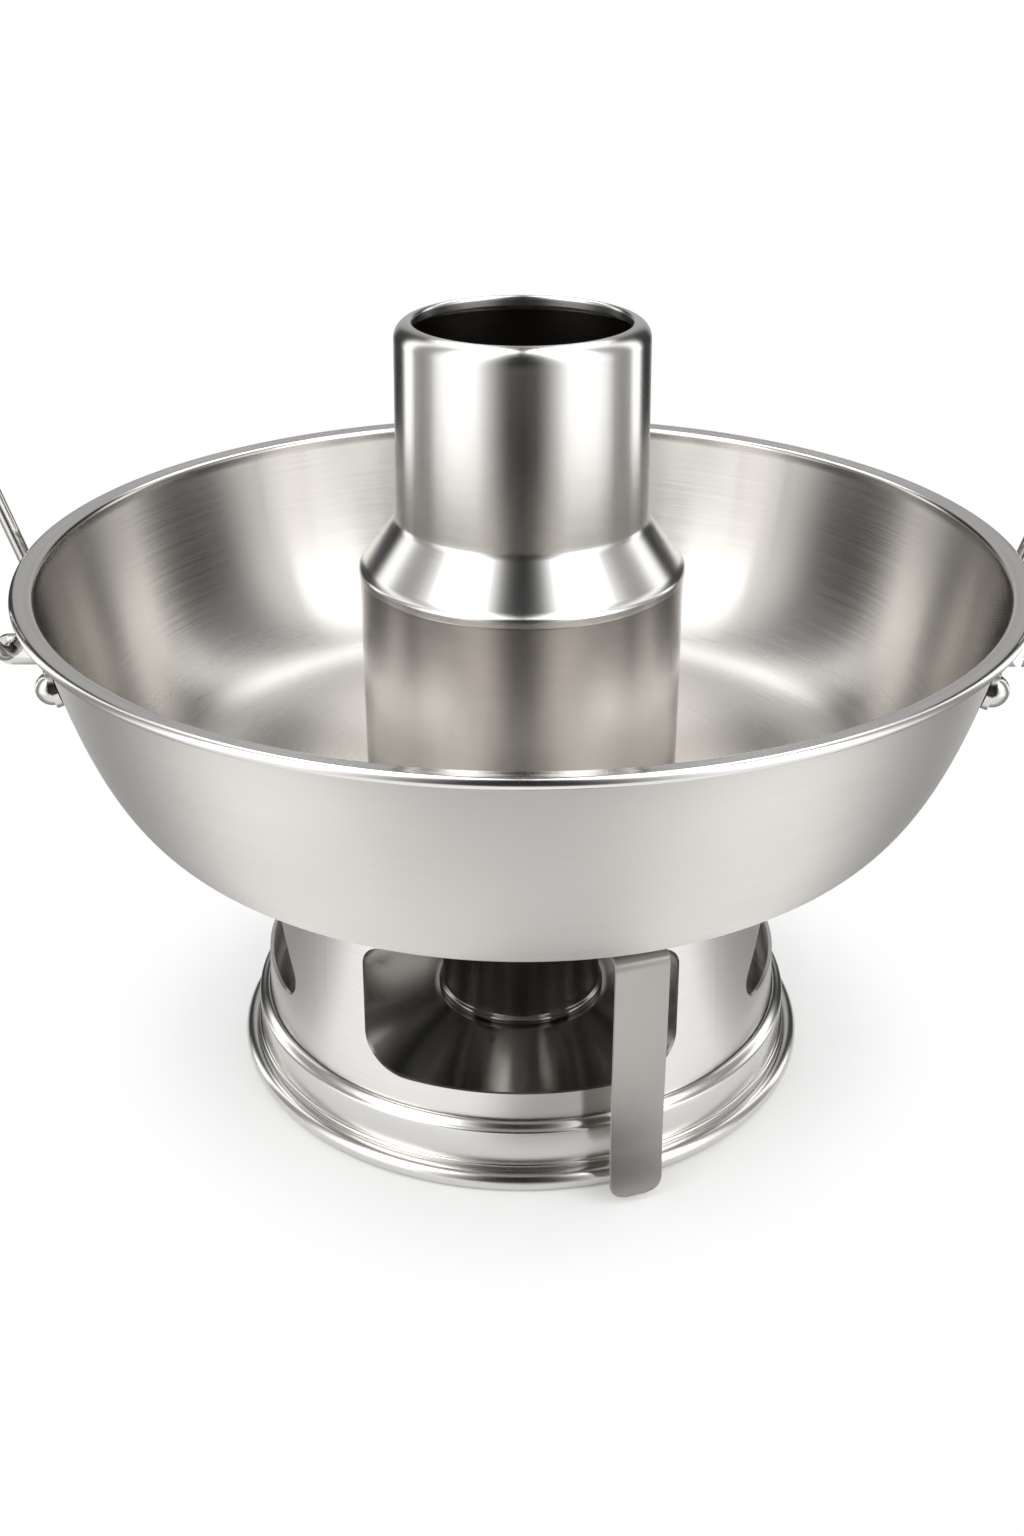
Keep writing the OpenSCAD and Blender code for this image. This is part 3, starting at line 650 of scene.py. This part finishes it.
def stand_wall(v, fittings):
    """Makes the stand's cone with its four windows, the slot for the strap and the seat flange."""
    t = v.sheet
    top_z, foot_z = WALL_HIGH[2], WALL_LOW[2]
    quarter = math.radians(45)
    front = rounded([(-v.window_w / 2, v.low_z), (v.window_w / 2, v.low_z),
                     (v.window_w / 2, v.high_z), (-v.window_w / 2, v.high_z)],
                    [v.low_corner, v.low_corner, v.high_corner, v.high_corner])
    front = even(np.vstack([front, front[:1]]), 1.2)[:-1]
    front[:, 1] += np.where(front[:, 1] > v.high_z - v.high_corner,
                            v.arch_h * (1 - (2 * front[:, 0] / v.window_w) ** 2), 0)
    side = rounded([(-v.side_low_w / 2, v.side_low_z), (v.side_low_w / 2, v.side_low_z),
                    (v.side_high_w / 2, v.high_z), (-v.side_high_w / 2, v.high_z)],
                   [v.side_corner] * 4)
    verts, faces, count = [], [], 0
    for turn, outline in ((0, front), (90, side), (180, front), (270, side)):
        p, f = wall_panel(v, turn, foot_z, v.band_z, outline, (-quarter, quarter))
        verts.append(p)
        faces.append(f + count)
        count += len(p)
    arm_low, arm_high = STRAP_HIGH[2] - fittings.strap_t, STRAP_HIGH[2]
    margin = math.asin((fittings.strap_w / 2 + v.slot_room) / v.top_r)
    slot_from = fittings.strap_turn - fittings.strap_swing - margin
    slot_to = fittings.strap_turn + margin
    x0, x1 = v.top_r * math.sin(slot_from), v.top_r * math.sin(slot_to)
    slot_low, slot_high = arm_low - v.slot_room, arm_high + v.slot_room
    slot = rounded([(x0, slot_low), (x1, slot_low), (x1, slot_high), (x0, slot_high)],
                   [v.slot_corner] * 4, 4)
    p, f = wall_panel(v, 0, v.band_z, top_z, slot, (-quarter, quarter))
    verts.append(p)
    faces.append(f + count)
    count += len(p)
    rest = np.linspace(quarter, 2 * math.pi - quarter, 217)
    for depth, flip in ((0, 1), (-t, -1)):
        z = np.linspace(v.band_z, top_z, 5)
        r = wall_radius(v, z) + depth
        g = np.stack([np.outer(r, np.sin(rest)), -np.outer(r, np.cos(rest)),
                      np.outer(z, np.ones(len(rest)))], axis=-1)
        f = grid_faces(len(z), len(rest))
        verts.append(g.reshape(-1, 3))
        faces.append(f[:, ::flip] + count)
        count += len(verts[-1])
    ring = np.radians(np.linspace(0, 360, AROUND, endpoint=False))
    for z in (foot_z, top_z):
        r = np.array([wall_radius(v, z) - t, wall_radius(v, z)])
        if z == top_z:
            r[0] = v.top_r - v.flange_w
        g = np.stack([np.outer(r, np.sin(ring)), -np.outer(r, np.cos(ring)),
                      np.full((2, AROUND), z)], axis=-1)
        verts.append(g.reshape(-1, 3))
        faces.append(grid_faces(2, AROUND, close_cols=True) + count)
        count += len(verts[-1])
    piece = mesh_object("stand_wall_cut", np.vstack(verts), np.vstack(faces), 40)
    weld(piece, 0.00002)
    dress(piece, "Bright spun stainless", "pot", "stand_wall")


def base_skirt(v):
    """Makes the stepped skirt with its thin seam bead and the bead that the pot stands on."""
    t = v.sheet
    bead = (SKIRT_HIGH[0] - v.bead_r, v.bead_r - v.foot_flat)
    inner_r = WALL_HIGH[0] + 0.1
    top = SKIRT_HIGH[2]
    flat = math.degrees(math.acos((v.bead_r - v.foot_flat) / v.bead_r))
    seam_z = bead[1] + v.bead_r + v.seam_r / 2
    bend = 1.2
    skirt = np.vstack([
        line((inner_r, top - t), (inner_r, top - 0.3)),
        line((inner_r + 0.2, top - 0.02), (inner_r + t / 2, top - 0.02)),
        line((inner_r + 1.1, top - 0.25), (v.band_r - 0.9, top - v.shoulder_h + 0.75), 4),
        arc((v.band_r - bend, top - v.shoulder_h - 0.35), bend, 45, 0, 6),
        line((v.band_r, top - v.shoulder_h - 0.8), (v.band_r, seam_z + v.seam_r + 0.1), 9),
        arc((v.band_r, seam_z), v.seam_r, 84, -58, 12),
        arc(bead, v.bead_r, 122, -90 + flat, 22),
        arc(bead, v.bead_r, -90 - flat, -175, 9),
        line((v.band_r - t, bead[1] + 0.3), (v.band_r - t, top - v.shoulder_h - t), 9),
    ])
    piece = revolve("base_skirt_spun", skirt[::-1], 320, 40)
    dress(piece, "Crisp spun stainless", "pot", "base_skirt")


def base_pan(b):
    """Makes the pan inside the skirt, raised in its middle."""
    high, low_z = PAN_HIGH[2], PAN_LOW[2] + b.sheet
    edge = PAN_HIGH[0]
    slope_r = b.pan_top_r + b.pan_slope_w
    upper = even(np.vstack([
        [(edge, low_z)], [(slope_r + 2, low_z)],
        arc((slope_r + 1.5, low_z + 8), 8, -90, -105, 5),
        arc((b.pan_top_r - 1, high - 5), 5, 68, 90, 5)]), 1.5)
    upper = np.vstack([upper, [(PINHOLE, high)]])
    pan = np.vstack([upper, upper[::-1] - [0, b.sheet]])
    piece = revolve("base_pan_spun", pan, AROUND, 40)
    # the pan's finish is darkened as painted shade inside the stand
    dress(piece, "Buffed drawn stainless", "pot", "base_pan")


class HOTPOT_OT_stand(bpy.types.Operator):
    """Makes the windowed wall, the stepped skirt and the base pan of the stand"""
    bl_idname = "hot_pot.stand"
    bl_label = "Stand"

    def execute(self, context):
        v = sizes("stand")
        stand_wall(v, sizes("fittings"))
        base_skirt(v)
        base_pan(sizes("burner"))
        return {"FINISHED"}


class HOTPOT_OT_burner(bpy.types.Operator):
    """Makes the burner's straight cup with the bead round its foot"""
    bl_idname = "hot_pot.burner"
    bl_label = "Burner"

    def execute(self, context):
        v = sizes("burner")
        rim_z, base_z = CUP_HIGH[2], CUP_LOW[2] + v.bead_r
        cup_r = CUP_HIGH[0] - v.bead_r
        outline = np.vstack([
            line((PINHOLE, base_z), (cup_r - v.bead_r, base_z), 6),
            arc((cup_r, base_z), v.bead_r, -170, 78, 18),
            line((cup_r, base_z + v.bead_r + 0.4), (cup_r, rim_z - 0.3), 24),
            arc((cup_r - v.sheet / 2, rim_z - v.sheet / 2), v.sheet / 2, 0, 180, 6),
            line((cup_r - v.sheet, rim_z - 1), (cup_r - v.sheet, base_z + 2 * v.sheet), 12),
            line((cup_r - 2 * v.sheet, base_z + v.sheet), (PINHOLE, base_z + v.sheet), 4),
        ])
        piece = revolve("burner_cup_spun", outline, 200, 40)
        # the cup's finish is darkened as painted shade inside the stand
        dress(piece, "Buffed drawn stainless", "pot", "burner_cup")
        return {"FINISHED"}


class HOTPOT_OT_handles(bpy.types.Operator):
    """Makes the two bent-rod handles"""
    bl_idname = "hot_pot.handles"
    bl_label = "Handles"

    def execute(self, context):
        v = sizes("fittings")
        foot = v.leg_y - v.eye_y - v.ear_t / 2 - v.gap
        tip_y = v.eye_y - v.ear_t / 2 - v.gap - 1.5
        half = np.vstack([
            line((tip_y, 0), (v.leg_y - foot, 0), 12),
            arc((v.leg_y - foot, foot), foot, -90, 0, 12)[1:],
            line((v.leg_y, foot + 1), (v.leg_y, v.bail_h - v.corner), 10),
            arc((v.leg_y - v.corner, v.bail_h - v.corner), v.corner, 0, 90, 20)[1:],
            line((v.leg_y - v.corner - 2, v.bail_h), (0, v.bail_h), 8),
        ])
        path = np.vstack([half, (half * [-1, 1])[::-1][1:]])
        path = even(path, 0.6)
        s = np.concatenate([[0], np.cumsum(np.linalg.norm(np.diff(path, axis=0), axis=1))])
        ends = np.minimum(s, s[-1] - s)
        head = 1.5
        swell = np.where(ends < head, v.rod_r + 1.4 - 0.9 * (1 - (ends / head).clip(0, 1)) ** 2,
                         v.rod_r)
        a = np.linspace(0, 2 * np.pi, 32, endpoint=False)
        section = np.column_stack([np.cos(a), np.sin(a)])
        for side, name in ((-1, "left"), (1, "right")):
            points = np.column_stack([side * (v.pivot_x + path[:, 1] * math.sin(v.lean)), path[:, 0],
                                      v.pivot_z + path[:, 1] * math.cos(v.lean)])
            out = np.array([side * math.cos(v.lean), 0, -math.sin(v.lean)])
            piece = sweep(name + "_handle_rod", points, section, out,
                          np.column_stack([swell, swell]), 50)
            dress(piece, "Polished stainless fittings", name + "_bail",
                  name + "_handle")
        return {"FINISHED"}


def soft_edges(node, name, width, key, body, slot):
    """A merged copy of a CAD node with its edges rounded by a bevel."""
    piece = bpy.data.objects.new(name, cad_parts[node].data.copy())
    bpy.context.scene.collection.objects.link(piece)
    weld(piece, 0.000005)
    bevel = piece.modifiers.new("Broken edges", "BEVEL")
    bevel.width = width * MM
    bevel.segments = 2
    bevel.limit_method = "ANGLE"
    bevel.angle_limit = math.radians(40)
    piece.data.shade_smooth()
    piece.data.set_sharp_from_angle(angle=math.radians(40))
    return dress(piece, key, body, node)


# Small pieces as (CAD node, what it becomes, edge in mm, finish, body, slot)
SMALL_PIECES = [(ear, ear + "_pressed", 0.35, "Polished stainless fittings", "pot", "fitting_steel")
                for ear in ("left_front_ear", "left_rear_ear", "right_front_ear", "right_rear_ear")]
SMALL_PIECES += [
    ("ear_rivets", "ear_rivets_domed", 0.15, "Polished stainless fittings", "pot", "fitting_steel"),
    ("regulator_rivets", "regulator_rivets_set", 0.1, "Polished stainless fittings", "regulator",
     "fitting_steel"),
    ("regulator_ring", "regulator_ring_pressed", 0.15, "Bright spun stainless", "regulator",
     "strap_steel"),
    ("burner_top", "burner_top_pressed", 0.15, "Bright spun stainless", "pot", "burner_steel"),
    ("fire_grate", "fire_grate_bars", 0.3, "Heat dulled stainless", "pot", "grate_steel"),
]


def regulator_strap(v):
    """Makes the strap: an arm out of the slot, a bend down, and a tip that flares outwards."""
    t = v.strap_t
    top, low = STRAP_HIGH[2], STRAP_LOW[2]
    bend = (v.strap_reach - v.strap_bend, top - v.strap_bend)
    mid = v.strap_bend - t / 2
    flare = v.tip_h * math.tan(v.tip_angle)
    face = v.strap_reach - t / 2
    route = even(np.vstack([
        line((v.strap_root, top - t / 2), (bend[0] - 0.5, top - t / 2), 3),
        arc(bend, mid, 88, 2, 12),
        line((face, bend[1] - 1), (face, low + v.tip_h + 1.5), 3),
        line((face + 0.05, low + v.tip_h - 1.5), (face + flare, low), 3)]), 0.8)
    radial = np.array([math.sin(v.strap_turn), -math.cos(v.strap_turn), 0])
    across = np.array([math.cos(v.strap_turn), math.sin(v.strap_turn), 0])
    path = route[:, :1] * radial + route[:, 1:] * [0, 0, 1]
    left = np.cumsum(np.linalg.norm(np.diff(path[::-1], axis=0), axis=1))
    left = np.concatenate([[0], left])[::-1]
    r = v.strap_corner
    cut = r - np.sqrt((r * r - (r - left.clip(0, r)) ** 2).clip(0))
    half_w = (v.strap_w / 2 - cut) / (v.strap_w / 2)
    edge = 0.45
    section = rounded([(-t / 2, -v.strap_w / 2), (t / 2, -v.strap_w / 2),
                       (t / 2, v.strap_w / 2), (-t / 2, v.strap_w / 2)], [edge] * 4, 5)
    piece = sweep("regulator_strap_bent", path, section, across,
                  np.column_stack([np.ones(len(path)), half_w]), 45)
    dress(piece, "Long grain brushed stainless", "regulator",
          "regulator_strap")


class HOTPOT_OT_fittings(bpy.types.Operator):
    """Makes the ears, the rivets, the regulator's strap and ring, and the grate"""
    bl_idname = "hot_pot.fittings"
    bl_label = "Fittings"

    def execute(self, context):
        for small in SMALL_PIECES:
            soft_edges(*small)
        regulator_strap(sizes("fittings"))
        return {"FINISHED"}


class HOTPOT_OT_studio(bpy.types.Operator):
    """Makes the camera, the white floor, the lamps and the studio's reflections"""
    bl_idname = "hot_pot.studio"
    bl_label = "Studio"

    def execute(self, context):
        v = sizes("studio")
        scene = context.scene
        scene.view_settings.view_transform = "Standard"
        lens = bpy.data.cameras.new("Photo camera")
        lens.sensor_width = 36.0
        lens.lens = v.focal_px / PHOTO_H * lens.sensor_width
        lens.clip_start = 0.01
        camera = bpy.data.objects.new("Photo camera", lens)
        scene.collection.objects.link(camera)
        yaw = math.atan((v.axis_px - PHOTO_W / 2) / v.focal_px)
        camera.location = (0, -v.camera_back * MM, v.camera_up * MM)
        camera.rotation_euler = (math.pi / 2 - v.camera_down, 0, yaw)
        scene.camera = camera

        a = np.linspace(0, 2 * np.pi, 64, endpoint=False)
        rings = np.array([0.0, 0.4, 1.5, 4.0, 8.0]) / MM
        verts = np.stack([np.outer(rings, np.cos(a)), np.outer(rings, np.sin(a)),
                          np.zeros((len(rings), len(a)))], axis=-1).reshape(-1, 3)
        faces = grid_faces(len(rings), len(a), close_cols=True)
        floor = mesh_object("studio_floor", verts, faces)
        weld(floor)
        floor.data.materials.append(floor_white())

        for name, place, size, power in (
                ("Left softbox", (-1.5, -1.0, 1.5), (1.2, 1.6), 9),
                ("Right softbox", (1.5, -1.0, 1.5), (1.2, 1.6), 9),
                ("Top softbox", (0.0, 0.3, 2.0), (1.6, 1.6), 14)):
            lamp = bpy.data.lights.new(name, "AREA")
            lamp.shape = "RECTANGLE"
            lamp.size, lamp.size_y = size
            lamp.energy = power
            holder = bpy.data.objects.new(name, lamp)
            scene.collection.objects.link(holder)
            holder.location = place
            aim = np.array([0, 0, 0.1]) - np.array(place)
            holder.rotation_euler = aim_angles(aim)
            holder.visible_glossy = name != "Top softbox"
        studio_world()
        return {"FINISHED"}


def aim_angles(direction):
    """Euler angles that turn an object's -Z axis along a direction."""
    x, y, z = np.array(direction) / np.linalg.norm(direction)
    return (math.acos(-z), 0, math.atan2(-x, y))


# Light levels round the studio as (azimuth from the front in degrees, level). The cove has a dark
# gap at the camera, a wide softbox, a grey gap, a narrow strip box, a black flag and a grey back.
COVE = [(0, 0.01), (12, 0.03), (20, 0.15), (30, 0.45), (40, 0.85), (54, 1.0), (68, 0.97),
        (79, 0.75), (88, 0.3), (98, 0.2), (108, 0.25), (115, 0.95), (124, 0.95), (129, 0.2),
        (134, 0.03), (152, 0.03), (162, 0.25), (180, 0.3)]
COVE_PEAK = 1.75
# High up, a lamp with a slot in its middle hangs behind the pot, which the fire tube mirrors twice.
TOP_PEAK = 7.0
TOP = [(0, 0.0), (12, 0.005), (20, 0.03), (30, 0.16), (40, 0.4), (54, 0.5), (68, 0.36), (79, 0.19),
       (88, 0.07), (98, 0.05), (108, 0.06), (115, 0.24), (124, 0.24), (131, 0.15), (142, 0.3),
       (148, 0.9), (162, 0.9), (168, 0.2), (172, 0.01), (180, 0.0)]
# Near the foot the table is bright on both sides of the camera's own shadow, and grey behind.
TABLE = [(0, 1.0), (9, 0.99), (16, 0.95), (24, 0.94), (38, 0.92), (62, 0.87), (73, 0.51),
         (82, 0.37), (96, 0.28), (180, 0.23)]
TABLE_PEAK = 1.25


def studio_bands(tree, place, bands, peak):
    """The node that gives a list of bands for a direction or a place, by its azimuth."""
    x, y, _ = place.outputs
    back = add(tree, "ShaderNodeMath", [(y, 0)], operation="MULTIPLY", i1=-1.0)
    azimuth = add(tree, "ShaderNodeMath", [(x, 0), (back, 1)], operation="ARCTAN2")
    size = add(tree, "ShaderNodeMath", [(azimuth, 0)], operation="ABSOLUTE")
    share = add(tree, "ShaderNodeMath", [(size, 0)], operation="DIVIDE", i1=math.pi)
    ramp = add(tree, "ShaderNodeValToRGB", [(share, 0)])
    stops = ramp.color_ramp.elements
    stops[0].color = [bands[0][1]] * 3 + [1]
    stops[1].color = [bands[-1][1]] * 3 + [1]
    for degrees, level in bands[1:-1]:
        stops.new(degrees / 180).color = [level] * 3 + [1]
    return add(tree, "ShaderNodeVectorMath", [(ramp, 0)], operation="SCALE", Scale=peak)


# Distances on the floor from the pot's axis, in metres, between which one look turns into another
SHADOW_END = (0.095, 0.17)      # the pot's own shadow, and plain white further out
BANDS_START = (0.104, 0.13)     # the matt floor, and the bands that the steel mirrors
COVE_START = (0.32, 0.7)        # the table's bands, and the cove's
# The strap's own shadow on the table, which its tip and the skirt mirror: middle, edge, level
SHADE_AT = (0.022, -0.122, 0.0)
SHADE_EDGE = (0.018, 0.06)
SHADE_LEVEL = 0.2


def floor_white():
    """Matt white acrylic: it keeps the pot's shadow near the foot, and further out it is plain
    white to the camera, and carries the studio's bands where the steel mirrors it."""
    material = bpy.data.materials.new("Matt white acrylic")
    material.use_nodes = True
    tree = material.node_tree
    shader = tree.nodes["Principled BSDF"]
    shader.inputs["Base Color"].default_value = linear("#F8F8F8") + [1.0]
    shader.inputs["Roughness"].default_value = 0.6
    shader.inputs["Specular IOR Level"].default_value = 0.1
    place = add(tree, "ShaderNodeTexCoord").outputs["Object"]
    parts = add(tree, "ShaderNodeSeparateXYZ", [(place, 0)])
    far = add(tree, "ShaderNodeVectorMath", [(place, 0)], operation="LENGTH").outputs["Value"]
    ray = add(tree, "ShaderNodeLightPath").outputs
    plain, banded, out = [
        add(tree, "ShaderNodeMapRange", [(far, "Value")], From_Min=start, From_Max=end,
            interpolation_type="SMOOTHSTEP")
        for start, end in (SHADOW_END, BANDS_START, COVE_START)]
    mirror = add(tree, "ShaderNodeMix", [(out, 0), (studio_bands(tree, parts, TABLE, TABLE_PEAK), 6),
                                         (studio_bands(tree, parts, COVE, COVE_PEAK), 7)],
                 data_type="RGBA").outputs[2]
    seen = add(tree, "ShaderNodeMath", [(plain, 0), (ray["Is Camera Ray"], 1)],
               operation="MULTIPLY")
    mirrored = add(tree, "ShaderNodeMath", [(banded, 0), (ray["Is Glossy Ray"], 1)],
                   operation="MULTIPLY")
    share = add(tree, "ShaderNodeMath", [(seen, 0), (mirrored, 1)], operation="MAXIMUM")
    colour = add(tree, "ShaderNodeMix", [(ray["Is Glossy Ray"], 0), (mirror, 7)],
                 data_type="RGBA", i6=(1, 1, 1, 1)).outputs[2]
    off = add(tree, "ShaderNodeVectorMath", [(place, 0)], operation="DISTANCE",
              i1=SHADE_AT).outputs["Value"]
    clear = add(tree, "ShaderNodeMapRange", [(off, "Value")], From_Min=SHADE_EDGE[0],
                From_Max=SHADE_EDGE[1], To_Min=SHADE_LEVEL, interpolation_type="SMOOTHSTEP")
    strength = add(tree, "ShaderNodeMath", [(clear, 0), (ray["Is Camera Ray"], 1)],
                   operation="MAXIMUM")
    glow = add(tree, "ShaderNodeEmission", [(colour, "Color"), (strength, 1)])
    mix = add(tree, "ShaderNodeMixShader", [(share, 0), (shader, 1), (glow, 2)])
    tree.links.new(mix.outputs[0], tree.nodes["Material Output"].inputs["Surface"])
    return material


TOP_START = (0.6, 0.8)      # how far up a direction points where the cove gives way to the top
FLOOR_LIGHT = 1.1           # strength of the even light that the matt floor gets


def studio_world():
    """A white cove: plain white to the camera, even light for the floor, and softboxes with dark
    gaps between them where the steel mirrors it."""
    world = bpy.data.worlds.new("Studio")
    bpy.context.scene.world = world
    world.use_nodes = True
    tree = world.node_tree
    tree.nodes.clear()
    place = add(tree, "ShaderNodeTexCoord").outputs["Generated"]
    parts = add(tree, "ShaderNodeSeparateXYZ", [(place, 0)])
    ray = add(tree, "ShaderNodeLightPath").outputs
    seen = add(tree, "ShaderNodeBackground", Color=(1, 1, 1, 1), Strength=1.0)
    even_light = add(tree, "ShaderNodeBackground", Color=(1, 1, 1, 1), Strength=FLOOR_LIGHT)
    up = add(tree, "ShaderNodeMapRange", [(parts.outputs[2], "Value")], From_Min=TOP_START[0],
             From_Max=TOP_START[1], interpolation_type="SMOOTHSTEP")
    sky = add(tree, "ShaderNodeMix", [(up, 0), (studio_bands(tree, parts, COVE, COVE_PEAK), 6),
                                      (studio_bands(tree, parts, TOP, TOP_PEAK), 7)],
              data_type="RGBA").outputs[2]
    lit = add(tree, "ShaderNodeBackground", [(sky, "Color")], Strength=1.0)
    steel = add(tree, "ShaderNodeMixShader", [(ray["Is Glossy Ray"], 0), (even_light, 1), (lit, 2)])
    pick = add(tree, "ShaderNodeMixShader", [(ray["Is Camera Ray"], 0), (steel, 1), (seen, 2)])
    add(tree, "ShaderNodeOutputWorld", [(pick, 0)])


OPERATORS = [HOTPOT_OT_studio, HOTPOT_OT_bowl, HOTPOT_OT_chimney, HOTPOT_OT_stand,
             HOTPOT_OT_burner, HOTPOT_OT_handles, HOTPOT_OT_fittings]


class HOTPOT_PT_panel(bpy.types.Panel):
    """Lists the pot's operators and the values they read"""
    bl_idname = "HOTPOT_PT_panel"
    bl_label = "Chimney hot pot"
    bl_space_type = "VIEW_3D"
    bl_region_type = "UI"
    bl_category = "Hot pot"

    def draw(self, context):
        for operator in OPERATORS:
            self.layout.operator(operator.bl_idname)
        for group, kind in GROUPS.items():
            box = self.layout.box()
            for key in kind.__annotations__:
                box.prop(values(group), key)


def register():
    """Registers the classes and gives the scene its groups of values."""
    for kind in [*GROUPS.values(), *OPERATORS, HOTPOT_PT_panel]:
        bpy.utils.register_class(kind)
    for group, kind in GROUPS.items():
        setattr(bpy.types.Scene, "hot_pot_" + group, bpy.props.PointerProperty(type=kind))


def unregister():
    """Takes the groups of values and the classes away again."""
    for group in GROUPS:
        delattr(bpy.types.Scene, "hot_pot_" + group)
    for kind in reversed([*GROUPS.values(), *OPERATORS, HOTPOT_PT_panel]):
        bpy.utils.unregister_class(kind)


def main():
    register()
    for operator in OPERATORS:
        group, name = operator.bl_idname.split(".")
        getattr(getattr(bpy.ops, group), name)()


if __name__ == "__main__":
    main()
